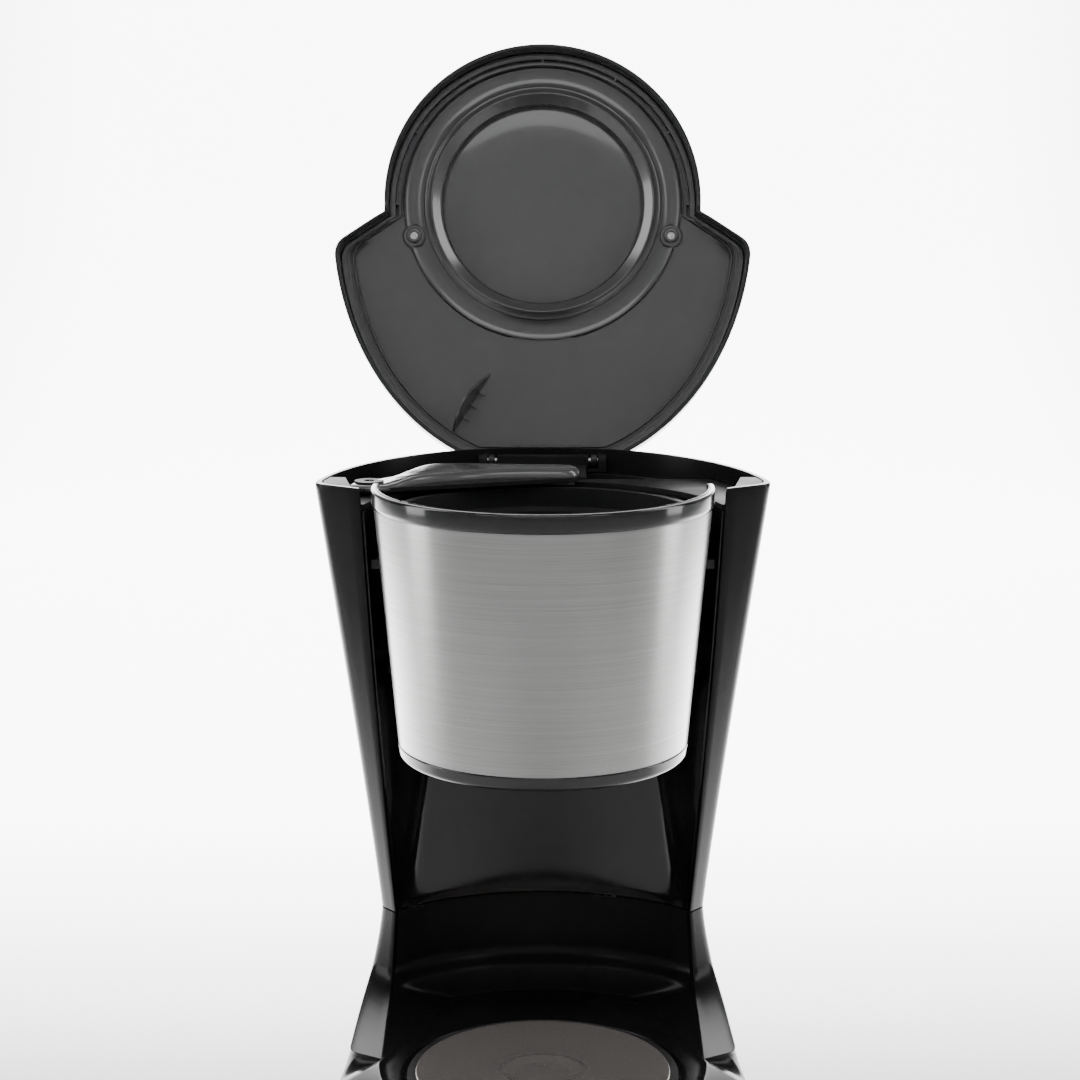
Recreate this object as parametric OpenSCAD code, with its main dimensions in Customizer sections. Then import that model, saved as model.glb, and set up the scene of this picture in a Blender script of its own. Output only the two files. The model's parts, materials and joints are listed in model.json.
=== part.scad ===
// Drip coffee maker: a waisted black tower with a glossy bay for the jug, a
// brushed-steel filter holder, a rear water tank, a swinging water arm and a
// full-width lid, drawn with the lid open.
// Millimetres, +Z up, front towards -Y. The origin lies on the table under
// the centre of the hot plate, which is also the filter holder's axis.

/* [Body] */
// Height of the body's rim
rim_z = 298.5; // [290:0.5:305]
// Half width of the body at its rim
rim_hw = 100; // [96:0.5:104]
// Half width of the body at the waist
waist_hw = 78.5; // [76:0.5:82]
// Half width of the body at its foot
foot_hw = 100; // [96:0.5:104]
// Height of the parting line between base and tower
part_z = 89; // [85:0.5:95]
// Height of the base's deck around the hot plate
deck_z = 42; // [40:0.5:44]
// Rearmost point of the rim
rim_rear_y = 133.5; // [130:0.5:138]
// Rearmost point of the waist
waist_rear_y = 128; // [124:0.5:131]
// Foremost point of the base
foot_front_y = -96; // [-100:0.5:-92]
// Wall thickness of the moulded housings
wall = 2.5; // [2:0.1:3]

/* [Hot plate] */
// Radius of the hot plate
plate_r = 56; // [52:0.5:57]
// Thickness of the hot plate
plate_t = 2; // [1.5:0.1:2.5]

/* [Filter holder] */
// Height of the steel sleeve's top edge
steel_top_z = 294; // [292:0.5:296]
// Height of the steel sleeve's bottom edge
steel_low_z = 192.5; // [188:0.5:196]
// Radius of the steel at its top edge
steel_top_r = 71; // [70:0.1:71.5]
// Radius of the steel at its bottom edge
steel_low_r = 61.6; // [60:0.1:63]
// Sweep of the steel shell around the front
shell_sweep = 186; // [180:1:190]
// Height of the basket's rim
basket_rim_z = 290.5; // [289:0.1:291]

/* [Lid] */
// Opening angle of the lid, from closed
lid_open = 105; // [95:1:110]
// Height of the closed lid's top
lid_top_z = 325; // [322:0.5:328]
// Distance of the hinge axis behind the holder's axis
hinge_y = 127; // [125:0.5:128]
// Height of the hinge axis
hinge_z = 293; // [291:0.5:294]

/* [Water arm] */
// Place of the arm's pivot across the machine
pivot_x = -76; // [-78:0.5:-74]
// Place of the arm's pivot along the machine
pivot_y = 45; // [43:0.5:47]
// Height of the arm's underside
arm_z = 292.5; // [292:0.1:293]
// Thickness of the arm's cover
arm_t = 6; // [5:0.1:6.5]

/* [Hidden] */
$fn = 96;

foot_h = 3;                 // height of the rubber feet under the housing
pin_fit = 0.05;             // radial clearance of a pin in its bore
waist_front_y = 72;         // front edge of the tower at the waist
rim_front_y = 12;           // front edge of the columns at the rim
corner_back = 15;           // how far the widest point lies ahead of the corner
side_slope = 0.36;          // how fast the bay's side faces close to the rear
edge_lip = 3.6;             // depth of the column's front lip
bay_low_r = 101;            // radius of the bay's rear wall beside the jug
bay_top_r = 79;             // radius of the bay's rear wall behind the holder
bay_foot_r = 96;            // radius of the bay's rear wall at the deck
arc_n = 24;                 // steps along a lofted outline
plate_top_z = deck_z + 0.6;
tank_low_z = 100;
tank_top_z = 287.5;
deck2_z = 288.5;            // underside of the top deck
deck2_t = 2.5;
deck2_rear_y = 84;
liner_z = 313;              // closed lid: face of the liner
skirt_z = rim_z + 0.8;      // closed lid: lower edge of the wing's skirt
holder_skirt_z = 302.6;     // closed lid: lower edge of the round skirt
lid_r = 76;                 // radius of the lid's round front
holder_top_z = 302;         // top of the black upper band
holder_low_z = 186.5;       // bottom of the lower band
feet_at = [[-68, -52], [68, -52], [-60, 100], [60, 100]];
screws_at = [[-55, -64], [55, -64], [-72, 60], [72, 60]];
outlet_at = [30, 110];      // the tank's outlet
fork_x = 22.6;              // inner face of the lid's hinge forks
fork_t = 3;
switch_z = 20;              // centre of the power switch
gland_at = [24, 116, 18];   // inner end of the mains cord's gland
rail_z = 262;               // underside of the ledges that carry the holder
nozzle_at = [8, 74];        // the arm's spout when parked
black = [0.05, 0.05, 0.055];
dark = [0.16, 0.16, 0.17];

function lerp(a, b, t) = a + (b - a) * t;
function clamp01(t) = min(1, max(0, t));
function unit(v) = v / norm(v);

// How high z lies in the tower, from 0 at the waist to 1 at the rim
function rise(z) = (z - part_z) / (rim_z - part_z);
// How low z lies in the base, from 0 at the waist to 1 at the feet
function sink(z) = (part_z - z) / (part_z - foot_h);

function half_w(z) = z >= part_z
    ? lerp(waist_hw, rim_hw, pow(rise(z), 1.45))
    : lerp(waist_hw, foot_hw, pow(sink(z), 1.35));
function front_y(z) = z >= part_z
    ? lerp(waist_front_y, rim_front_y, 1 - pow(1 - rise(z), 1.8))
    : lerp(waist_front_y, rim_front_y, pow(clamp01((62 - z) / (62 - deck_z)), 2.2));
function rear_y(z) = z >= part_z
    ? lerp(waist_rear_y, rim_rear_y, rise(z))
    : lerp(waist_rear_y, 131, sink(z));
function edge_x(z) = z >= part_z
    ? lerp(68.4, 78, rise(z))
    : lerp(68.4, 71.5, clamp01((part_z - z) / (part_z - deck_z)));
function corner_y(z) = front_y(z) + lerp(9.5, 14, clamp01(rise(z)));
function mid_y(z) = corner_y(z) - corner_back;
function bay_r(z) = z < part_z ? lerp(bay_foot_r, bay_low_r, clamp01((z - deck_z) / 40))
    : lerp(bay_low_r, bay_top_r, pow(sin(90 * clamp01((z - 178) / 40)), 2));

// Outer outline of the body at height z, set in by e, from the right column's
// front edge round the rear to the left one
function shell_curve(z, e) =
    let (a = half_w(z) - e, b = rear_y(z) - mid_y(z) - e,
        t0 = asin((corner_back + 0.8 * e) / b), lip = [edge_x(z) + 0.3 * e, front_y(z) + 1.25 * e])
    concat([lip],
        [for (i = [0:arc_n]) let (t = lerp(t0, 180 - t0, i / arc_n)) [a * cos(t), mid_y(z) + b * sin(t)]],
        [[-lip.x, lip.y]]);

// Where the bay's side face, set out by e, meets the bay's round rear wall
function bay_start(z, e) = [edge_x(z) + e - side_slope * edge_lip, front_y(z) + edge_lip];
function bay_knee(z, e) =
    let (s = bay_start(z, e), d = unit([-side_slope, 1]), r = bay_r(z) + e,
        sd = s * d, reach = -sd + sqrt(max(0, sd * sd - s * s + r * r)))
    s + (norm(s) >= r ? 0.5 : max(0.5, reach)) * d;
// Outline of the bay at height z, set out by e into the body
function bay_curve(z, e) =
    let (s = bay_start(z, e), k = bay_knee(z, e), a0 = atan2(k.y, k.x), r = norm(k))
    concat([s],
        [for (i = [0:arc_n]) let (t = lerp(a0, 180 - a0, i / arc_n)) [r * cos(t), r * sin(t)]],
        [[-s.x, s.y]]);

function reversed(c) = [for (i = [len(c) - 1:-1:0]) c[i]];
function at_z(c, z) = [for (p = c) [p.x, p.y, z]];
function skin_ring(z, e0, e1) = at_z(concat(shell_curve(z, e0), reversed(shell_curve(z, e1))), z);
function panel_ring(z, e0, e1) = at_z(concat(bay_curve(z, e1), reversed(bay_curve(z, e0))), z);

// Half width and front end of the low base ahead of the columns, set in by e;
// both close in towards the deck, which gives the base its round shoulder
function shoulder(z) = pow(clamp01((z - 28) / (deck_z - 28)), 3);
function fore_x(z, e) = lerp(half_w(z), edge_x(deck_z), shoulder(z)) - e;
function fore_y(z, e) = lerp(foot_front_y, foot_front_y + 6, clamp01(z / 28))
    + 16 * shoulder(z) + e;
// Closed ring round the base: below the deck the full outline, above it the
// horseshoe between outer wall and bay wall
function base_ring(z, e, full) =
    let (c = shell_curve(z, e), n = arc_n + 2, yl = rim_front_y)
    at_z(full ? concat([[fore_x(z, e), yl]], [for (i = [1:len(c) - 2]) c[i]], [[-fore_x(z, e), yl]],
            [for (i = [0:n]) let (t = lerp(183, 357, i / n))
                [fore_x(z, e) * cos(t), yl + (yl - fore_y(z, e)) * sin(t)]])
        : concat(c, reversed(bay_curve(z, e))), z);

// Outline of the tank at height z: the space between bay wall and outer wall
function tank_front_y(z) = lerp(96, 78, (z - tank_low_z) / (tank_top_z - tank_low_z));
function tank_ring(z, e) =
    let (yf = tank_front_y(z) + e, a = half_w(z) - wall - 2 - e, yc = mid_y(z),
        b = rear_y(z) - yc - wall - 2 - e, t0 = asin((yf + 1.5 - yc) / b),
        r = bay_r(z) + wall + 3 + e, x1 = a * cos(t0) - 1.5, n = arc_n)
    at_z(concat([for (i = [0:n]) let (t = lerp(t0, 180 - t0, i / n)) [a * cos(t), yc + b * sin(t)]],
        [for (i = [0:n]) let (x = lerp(-x1, x1, i / n)) [x, max(yf, sqrt(max(0, r * r - x * x)))]]), z);

// Closed lid: plan outline set in by e; the round front, the wings, the rear
function lid_outline(e) =
    let (r = lid_r - e, a = rim_hw + 0.3 - e, yc = 11, b = rim_rear_y - yc - 1 - e,
        a1 = asin(6 / r), t0 = asin((22 - yc) / b), t1 = acos(30 / a))
    concat([for (i = [0:arc_n]) let (t = lerp(-90, a1, i / arc_n)) [r * cos(t), r * sin(t)]],
        [for (i = [0:arc_n]) let (t = lerp(t0, t1, i / arc_n)) [a * cos(t), yc + b * sin(t)]],
        [for (i = [arc_n:-1:0]) let (t = lerp(t0, t1, i / arc_n)) [-a * cos(t), yc + b * sin(t)]],
        [for (i = [arc_n:-1:1]) let (t = lerp(-90, a1, i / arc_n)) [-r * cos(t), r * sin(t)]]);

function steps(z0, z1, n) = [for (i = [0:n]) lerp(z0, z1, i / n)];

// Radius of the steel cone at height z
function steel_r(z) = lerp(steel_low_r, steel_top_r, (z - steel_low_z) / (steel_top_z - steel_low_z));

// A solid skinned over rings of equal, even point count, each counter-clockwise
// about the direction in which the rings follow each other. The end faces are
// strips between a ring's first half and its second
module loft(rings) {
    n = len(rings[0]);
    m = len(rings);
    sides = [for (i = [0:m - 2]) for (k = [0:n - 1]) let (p = i * n + k, q = i * n + (k + 1) % n)
        each [[p, p + n, q + n], [p, q + n, q]]];
    polyhedron([for (r = rings) each r], concat(sides,
        [for (k = [0:n / 2 - 2]) [k, k + 1, n - 2 - k, n - 1 - k]],
        [for (k = [0:n / 2 - 2]) [for (q = [n - 1 - k, n - 2 - k, k + 1, k]) (m - 1) * n + q]]));
}

// The same, but the last ring joins the first instead of both being capped
module loft_round(rings) {
    n = len(rings[0]);
    m = len(rings);
    polyhedron([for (r = rings) each r],
        [for (i = [0:m - 1]) for (k = [0:n - 1])
            let (p = i * n + k, q = i * n + (k + 1) % n, p2 = (i + 1) % m * n + k, q2 = (i + 1) % m * n + (k + 1) % n)
            each [[p, p2, q2], [p, q2, q]]]);
}

// Rings of radius r along a path, n points each; ref is never parallel to it
function bar_rings(path, r, ref, n = 12) = [for (i = [0:len(path) - 1])
    let (d = path[min(i + 1, len(path) - 1)] - path[max(i - 1, 0)],
        u = unit(cross(d, ref)), w = unit(cross(d, u)))
    [for (k = [0:n - 1]) path[i] + r * (cos(360 * k / n) * u + sin(360 * k / n) * w)]];
// A round bar, and a hose with its bore
module bar(path, r, ref) loft(bar_rings(path, r, ref));
module hose(path, r, bore, ref) loft_round(concat(bar_rings(path, r, ref),
    [for (i = [len(path) - 1:-1:0]) bar_rings(path, bore, ref)[i]]));

// A ring of rectangular section
module ring(r0, r1, h) difference() {
    cylinder(r = r1, h = h);
    translate([0, 0, -1]) cylinder(r = r0, h = h + 2);
}
// A conical shell from height z0 to z1 that covers the front
module front_cone(z0, z1, out, t) rotate([0, 0, 270 - shell_sweep / 2])
    rotate_extrude(angle = shell_sweep)
        polygon([[steel_r(z0) + out - t, z0], [steel_r(z0) + out, z0],
            [steel_r(z1) + out, z1], [steel_r(z1) + out - t, z1]]);
// Puts a closed lid's piece where it lies with the lid open
module lid_pose() translate([0, hinge_y, hinge_z]) rotate([-lid_open, 0, 0])
    translate([0, -hinge_y, -hinge_z]) children();
module hole_at(p, r, z0, z1) translate([p.x, p.y, z0]) cylinder(r = r, h = z1 - z0);
module box(lo, hi) translate(lo) cube(hi - lo);

// ---- base ----
module base_housing() color(black) difference() {
    loft_round(concat([for (z = steps(foot_h, deck_z, 7)) base_ring(z, 0, true)],
        [for (z = steps(deck_z, part_z, 8)) base_ring(z, 0, false)],
        [for (z = steps(part_z, deck_z - wall, 8)) base_ring(z, wall, false)],
        [for (z = steps(deck_z - wall, foot_h, 4)) base_ring(z, wall, true)]));
    translate([0, 0, deck_z - 8]) cylinder(r = plate_r + 3.5, h = 20);
    translate([0, 0, deck_z - 1.5]) cylinder(r = plate_r + 6, h = 20);
    box([-16, foot_front_y - 2, switch_z - 9], [16, foot_front_y + 16, switch_z + 9]);
    translate([gland_at.x, gland_at.y - 6, gland_at.z]) rotate([-90, 0, 0]) cylinder(r = 6.2, h = 30);
}
module base_cover() color(dark) difference() {
    translate([0, 0, foot_h]) linear_extrude(2)
        polygon([for (p = base_ring(foot_h + 2, wall + 0.6, true)) [p.x, p.y]]);
    for (p = screws_at) hole_at(p, 1.9, 0, 10);
    for (x = [-36:9:36]) box([x - 1.5, 20, 0], [x + 1.5, 56, 10]);
}
module rubber_feet() color([0.1, 0.1, 0.1]) for (p = feet_at)
    translate([p.x, p.y, 0]) union() {
        cylinder(r = 8, h = foot_h);
    }
module base_screws() color("silver") for (p = screws_at) translate([p.x, p.y, foot_h - 1.6]) difference() {
    union() {
        cylinder(r = 3.4, h = 1.6);
        cylinder(r = 1.85, h = 11);
    }
    translate([0, 0, -1]) cylinder(r = 1.4, h = 2, $fn = 4);
}

// ---- hot plate and water heater ----
module hot_plate() color([0.5, 0.47, 0.46]) rotate_extrude() polygon([[0, plate_top_z - plate_t - 0.5],
    [52, plate_top_z - plate_t - 0.5], [52, plate_top_z - 4.4], [plate_r, plate_top_z - 4.4],
    [plate_r, plate_top_z - 0.4], [plate_r - 0.8, plate_top_z], [plate_r - 3, plate_top_z - 0.2],
    [20, plate_top_z - 1.6], [18.5, plate_top_z - 1], [17, plate_top_z - 1], [14, plate_top_z - 2.2],
    [12, plate_top_z - 2.2], [0, plate_top_z - 2]]);
module plate_seal() color([0.12, 0.12, 0.12]) translate([0, 0, deck_z - 4]) ring(plate_r + 0.05, plate_r + 3.4, 3.4);
module heater_casting() color([0.75, 0.75, 0.77]) translate([0, 0, 29]) rotate([0, 0, 105])
    rotate_extrude(angle = 330) difference() {
        union() {
            translate([33, 5]) square([14, 5.1]);
            translate([36, 4]) circle(r = 4.5);
            translate([45, 4.5]) circle(r = 5);
        }
        translate([36, 4]) circle(r = 3.2);
        translate([45, 4.5]) circle(r = 3.6);
    }
module heater_terminals() color([0.8, 0.75, 0.6]) for (a = [105, 75]) rotate([0, 0, a])
    translate([36, a > 90 ? -12 : 1, 33]) rotate([-90, 0, 0]) cylinder(r = 2.6, h = 11);
module heater_clamp() color("silver") difference() {
    union() {
        box([-50, -5, 24.6], [50, 5, 26]);
        for (s = [-1, 1]) hole_at([s * 45, 0], 2.4, 23.4, 24.6);
    }
    translate([0, 0, 20]) cylinder(r = 3, h = 10);
}
module thermostat() color([0.85, 0.8, 0.7]) union() {
    hole_at([0, 16], 9, 33, plate_top_z - plate_t - 0.5);
    box([-4, 12, 30], [4, 20, 33]);
}
module thermal_fuse() color([0.9, 0.85, 0.6]) for (x = [-12, 12])
    translate([x, -10, 36.4]) rotate([-90, 0, 0]) cylinder(r = 2.5, h = 16);
module tank_line(z) { translate([outlet_at.x, outlet_at.y, z]) children(); }
module cold_hose() color([0.85, 0.85, 0.82]) hose([[outlet_at.x, outlet_at.y, 92],
    [outlet_at.x, outlet_at.y, 70], [30, 110, 50], [29, 108, 40], [26, 100, 33], [22, 86, 31],
    [16, 66, 31], [12.2, 50, 33]], 5.2, 3.4, [1, 0, 0]);
module hot_hose() color([0.85, 0.85, 0.82]) hose([[-12.2, 49, 33], [-16, 62, 32], [-26, 76, 32],
    [-38, 86, 33], [-46, 89.5, 34], [-52.6, 90, 34]], 4.4, 2.8, [0, 0, 1]);
module riser_tube() color([0.85, 0.85, 0.82]) hose([[-56, 90, 26], [-56, 91, 45], [-58, 92, 62], [-60, 92, 80],
    [-60, 90.5, 110], [-61, 89.5, 125], [-62, 87.5, 145], [-64.3, 82, 165], [-69.5, 69, 187],
    [-73.5, 57, 207], [-75.8, 48.5, 228], [pivot_x, pivot_y, 250], [pivot_x, pivot_y, 282],
    [pivot_x, pivot_y, deck2_z - 0.1]], 3.2, 1.9, [1, 0, 0]);
module hose_clips() color("silver") {
    for (z = [86, 76]) tank_line(z) ring(5.25, 6.1, 3);
}
module check_valve() color([0.9, 0.9, 0.9]) tank_line(84) sphere(r = 2.6);

// ---- tower ----
module tower_housing() color(black) difference() {
    loft([for (z = steps(part_z, rim_z, 12)) skin_ring(z, 0, wall)]);
    box([-31.3, 100, 287.4], [31.3, 150, rim_z + 2]);
    level_slot();
}
// The slot of the level window, on the right of the rear wall
module level_slot() box([66, 70, 120], [90, 78, 280]);
module level_window() color([0.6, 0.65, 0.7, 0.5]) intersection() {
    loft([for (z = steps(part_z, rim_z, 12)) skin_ring(z, 0.3, wall - 0.3)]);
    box([66, 70.2, 120.2], [90, 77.8, 279.8]);
}
module bay_panel() color(black) union() {
    loft([for (z = steps(part_z, deck2_z - 0.2, 14)) panel_ring(z, 0, wall - 0.1)]);
    for (s = [-1, 1]) rail(s);
}
// One of the two ledges that carry the filter holder
module rail(side) translate([0, 0, rail_z]) mirror([side > 0 ? 0 : 1, 0, 0]) linear_extrude(4)
    polygon([[67.2, 21], [75.2, 21], [71.6, 36], [67.2, 36]]);
module column_caps() color(black) for (s = [0, 1]) mirror([s, 0, 0]) translate([0, 0, rim_z - 2.2])
    linear_extrude(2) polygon([[82, 18.6], [94.4, 28.4], [95, 34], [93, 44], [86.4, 44]]);
module top_deck() color(black) difference() {
    translate([0, 0, deck2_z]) linear_extrude(deck2_t) intersection() {
        polygon([for (p = shell_curve(deck2_z, wall + 0.6)) p]);
        translate([-120, 0]) square([240, deck2_rear_y]);
    }
    translate([0, 0, deck2_z - 5]) cylinder(r = bay_top_r - 1, h = 20);
    hole_at([pivot_x, pivot_y], 4, deck2_z - 5, rim_z);
}
module bridge_cover() color(dark) box([-20, deck2_rear_y + 0.1, deck2_z], [20, 121, deck2_z + 3.2]);
module water_tank() color([0.09, 0.09, 0.1]) difference() {
    union() {
        loft(concat([for (z = steps(tank_low_z, tank_top_z, 14)) tank_ring(z, 0)],
            [for (z = steps(tank_top_z, tank_low_z + 2, 14)) tank_ring(z, 1.7)]));
        hole_at(outlet_at, 3.3, 88, tank_low_z + 1);
    }
    hole_at(outlet_at, 2.1, 87, tank_low_z + 3);
}
module tank_strainer() color([0.8, 0.8, 0.8]) difference() {
    hole_at(outlet_at, 5, tank_low_z + 2, tank_low_z + 6);
    hole_at(outlet_at, 4, tank_low_z + 1, tank_low_z + 5);
    for (x = [-2.4, 0, 2.4]) box([outlet_at.x + x - 0.5, outlet_at.y - 2.5, tank_low_z + 4],
        [outlet_at.x + x + 0.5, outlet_at.y + 2.5, tank_low_z + 8]);
}
module hinge_bracket() color(black) difference() {
    union() {
        box([-21.5, hinge_y - 4, 290.8], [21.5, hinge_y + 2, hinge_z + 2.6]);
        for (s = [-1, 1]) translate([s * 28 - 2, 0, 0]) {
            box([0, hinge_y - 4, 288], [4, hinge_y + 3.2, hinge_z]);
            translate([0, hinge_y, hinge_z]) rotate([0, 90, 0]) cylinder(r = 3.6, h = 4);
        }
        box([-30, hinge_y - 4, 288], [30, hinge_y, 289.2]);
        for (s = [-1, 1]) box([s * 18 - 3, hinge_y - 4, 289], [s * 18 + 3, hinge_y + 1, 291.5]);
    }
    translate([-40, hinge_y, hinge_z]) rotate([0, 90, 0]) cylinder(r = 1.5, h = 80);
}
module hinge_pins() color("silver") for (s = [-1, 1])
    translate([s > 0 ? 14 : -30, hinge_y, hinge_z]) rotate([0, 90, 0]) cylinder(r = 1.5, h = 16);
module arm_pivot_pin() color(dark) difference() {
    union() {
        hole_at([pivot_x, pivot_y], 4, deck2_z, arm_z + 3.6);
        hole_at([pivot_x, pivot_y], 6, deck2_z + deck2_t, arm_z - 0.4);
    }
    hole_at([pivot_x, pivot_y], 2.4, deck2_z - 1, arm_z + 2);
}
module cord_gland() color([0.08, 0.08, 0.08]) translate(gland_at) rotate([-90, 0, 0]) difference() {
    union() {
        cylinder(r = 6.1, h = 12.7);
        translate([0, 0, 12.7]) cylinder(r = 7.4, h = 2.6);
    }
    translate([0, 0, -1]) cylinder(r = 3.5, h = 20);
}

// ---- switch and wiring ----
bezel_front_y = foot_front_y + 1.5;
rocker_y = bezel_front_y + 4.5;
module switch_bezel() color(black) difference() {
    box([-15.8, bezel_front_y, switch_z - 8.8], [15.8, bezel_front_y + 13, switch_z + 8.8]);
    box([-11, bezel_front_y - 1, switch_z - 6.8], [11, bezel_front_y + 20, switch_z + 6.8]);
    translate([-13.5, rocker_y, switch_z]) rotate([0, 90, 0]) cylinder(r = 1.05, h = 27);
}
module switch_module() color(dark) box([-10.8, bezel_front_y + 13.1, switch_z - 6], [10.8, bezel_front_y + 28, switch_z + 6]);
module rocker() color([0.07, 0.07, 0.07]) difference() {
    union() {
        translate([-10.6, rocker_y, switch_z]) rotate([0, 90, 0]) linear_extrude(21.2)
            polygon([[-5.4, -3.6], [0, -2.2], [5.4, -4.4], [5.4, -1], [3, 2], [-3, 2], [-5.4, -1]]);
        translate([-13, rocker_y, switch_z]) rotate([0, 90, 0]) cylinder(r = 1, h = 26);
    }
    translate([5, rocker_y - 2.2, switch_z + 3]) rotate([90, 0, 0]) cylinder(r = 1.2, h = 5, center = true);
}
module rocker_lens() color([0.9, 0.25, 0.1]) translate([5, rocker_y - 2.2, switch_z + 3]) rotate([90, 0, 0])
    cylinder(r = 1.15, h = 2.4, center = true);
module terminal_block() color([0.9, 0.9, 0.85]) difference() {
    box([14, 96, 7], [34, 106, 17]);
    for (x = [18, 24, 30]) translate([x, 95, 12]) rotate([-90, 0, 0]) cylinder(r = 1.6, h = 12);
}
module wire_harness() color([0.3, 0.3, 0.32]) {
    bar([[24, 118, 18], [24, 114, 17.5], [24, 110, 12.4], [24, 106.6, 12]], 2.4, [1, 0, 0]);
    bar([[30, 95.7, 12], [30, 88, 11.5], [40, 70, 9], [56, 30, 9], [50, -30, 9], [20, -52, 10],
        [6, -60, 15], [5, -65.4, 17]], 1.6, [0, 0, 1]);
    bar([[18, 95.7, 12], [17, 88, 11], [8, 66, 12], [1, 44, 20], [0, 25, 30], [0, 20.9, 31.5]], 1.6, [1, 0, 0]);
}

// ---- lid, drawn closed and then opened ----
module lid_shell() color(black) lid_pose() difference() {
    union() {
        translate([0, 0, skirt_z]) linear_extrude(lid_top_z - 2 - skirt_z) polygon(lid_outline(0));
        translate([0, 0, lid_top_z - 2]) linear_extrude(1) polygon(lid_outline(1));
        translate([0, 0, lid_top_z - 1]) linear_extrude(1) polygon(lid_outline(3));
        for (s = [-1, 1]) fork(s);
    }
    translate([0, 0, skirt_z - 1]) linear_extrude(lid_top_z - 3 - skirt_z) polygon(lid_outline(2));
    difference() {
        translate([0, 0, skirt_z - 1]) cylinder(r = lid_r + 6, h = holder_skirt_z - skirt_z + 1);
        box([-120, 6, 200], [120, 140, 400]);
    }
    translate([-60, hinge_y, hinge_z]) rotate([0, 90, 0]) cylinder(r = 1.5 + pin_fit, h = 120);
}
// One of the two forks that carry the lid on its hinge pins
module fork(side) translate([side > 0 ? fork_x : -fork_x - fork_t, 0, 0]) {
    translate([0, hinge_y, hinge_z]) rotate([0, 90, 0]) cylinder(r = 3.6, h = fork_t);
    box([0, hinge_y - 3.2, hinge_z + 1], [fork_t, hinge_y + 3.4, lid_top_z - 3]);
}
module lid_liner() color([0.22, 0.22, 0.23]) lid_pose() difference() {
    union() {
        difference() {
            translate([0, 0, liner_z]) linear_extrude(2) polygon(lid_outline(2.6));
            translate([0, 0, liner_z - 1]) cylinder(r = 56, h = 5);
            box([-27, 118, 300], [27, 140, 320]);
        }
        rotate_extrude() polygon([[0, 315.5], [48.6, 315.5], [52, liner_z - 7],
            [55.4, liner_z - 7], [56.4, liner_z - 2], [57, liner_z], [57, liner_z + 2], [54, liner_z + 2],
            [53.6, liner_z - 4.8], [53, liner_z - 4.8], [50, 317.5], [0, 317.5]]);
        translate([0, 0, liner_z - 1.6]) ring(66.2, 67.8, 1.7);
        for (s = [-1, 1]) hole_at([s * 62, 16], 6, liner_z - 3, liner_z + 1);
    }
    for (s = [-1, 1]) hole_at([s * 62, 16], 3.6, liner_z - 4, liner_z - 0.4);
    for (s = [-1, 1]) hole_at([s * 62, 16], 1.6, liner_z - 4, liner_z + 4);
}
module lid_fin() color([0.2, 0.2, 0.21]) lid_pose() translate([-34, 97, 0]) rotate([0, 0, 122])
    translate([-17, -1, 0]) rotate([90, 0, 0]) translate([0, 0, -2]) linear_extrude(2)
        polygon([[0, liner_z - 0.05], [34, liner_z - 0.05], [30, 300], [24, 295.5], [14, 302]]);
module lid_screws() color("silver") lid_pose() for (s = [-1, 1]) union() {
    hole_at([s * 62, 16], 3.2, liner_z - 2.4, liner_z - 0.4);
    hole_at([s * 62, 16], 1.55, liner_z - 2.4, lid_top_z - 4);
}

// ---- water arm, parked ----
module arm_plan(r_nozzle) hull() {
    translate([pivot_x, pivot_y]) circle(r = 9, $fn = 32);
    translate([-50, 82]) circle(r = 6, $fn = 32);
    translate(nozzle_at) circle(r = r_nozzle, $fn = 32);
}
module water_arm() color([0.2, 0.2, 0.21]) difference() {
    translate([0, 0, arm_z + 2]) linear_extrude(arm_t - 2) arm_plan(9);
    translate([0, 0, arm_z + 1]) linear_extrude(arm_t - 2.6) offset(delta = -1.6) arm_plan(9);
}
module arm_duct() color(dark) difference() {
    union() {
        translate([0, 0, arm_z]) linear_extrude(1.9) arm_plan(9);
        hole_at([pivot_x, pivot_y], 6.4, arm_z, arm_z + 4.2);
        hole_at(nozzle_at, 5, arm_z - 0.8, arm_z + 4);
    }
    hole_at([pivot_x, pivot_y], 4 + pin_fit, arm_z - 1, arm_z + 3.7);
    hole_at([pivot_x, pivot_y], 2.4, arm_z - 1, arm_z + 8);
    hole_at(nozzle_at, 3.2, arm_z - 2, arm_z + 8);
}

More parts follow.
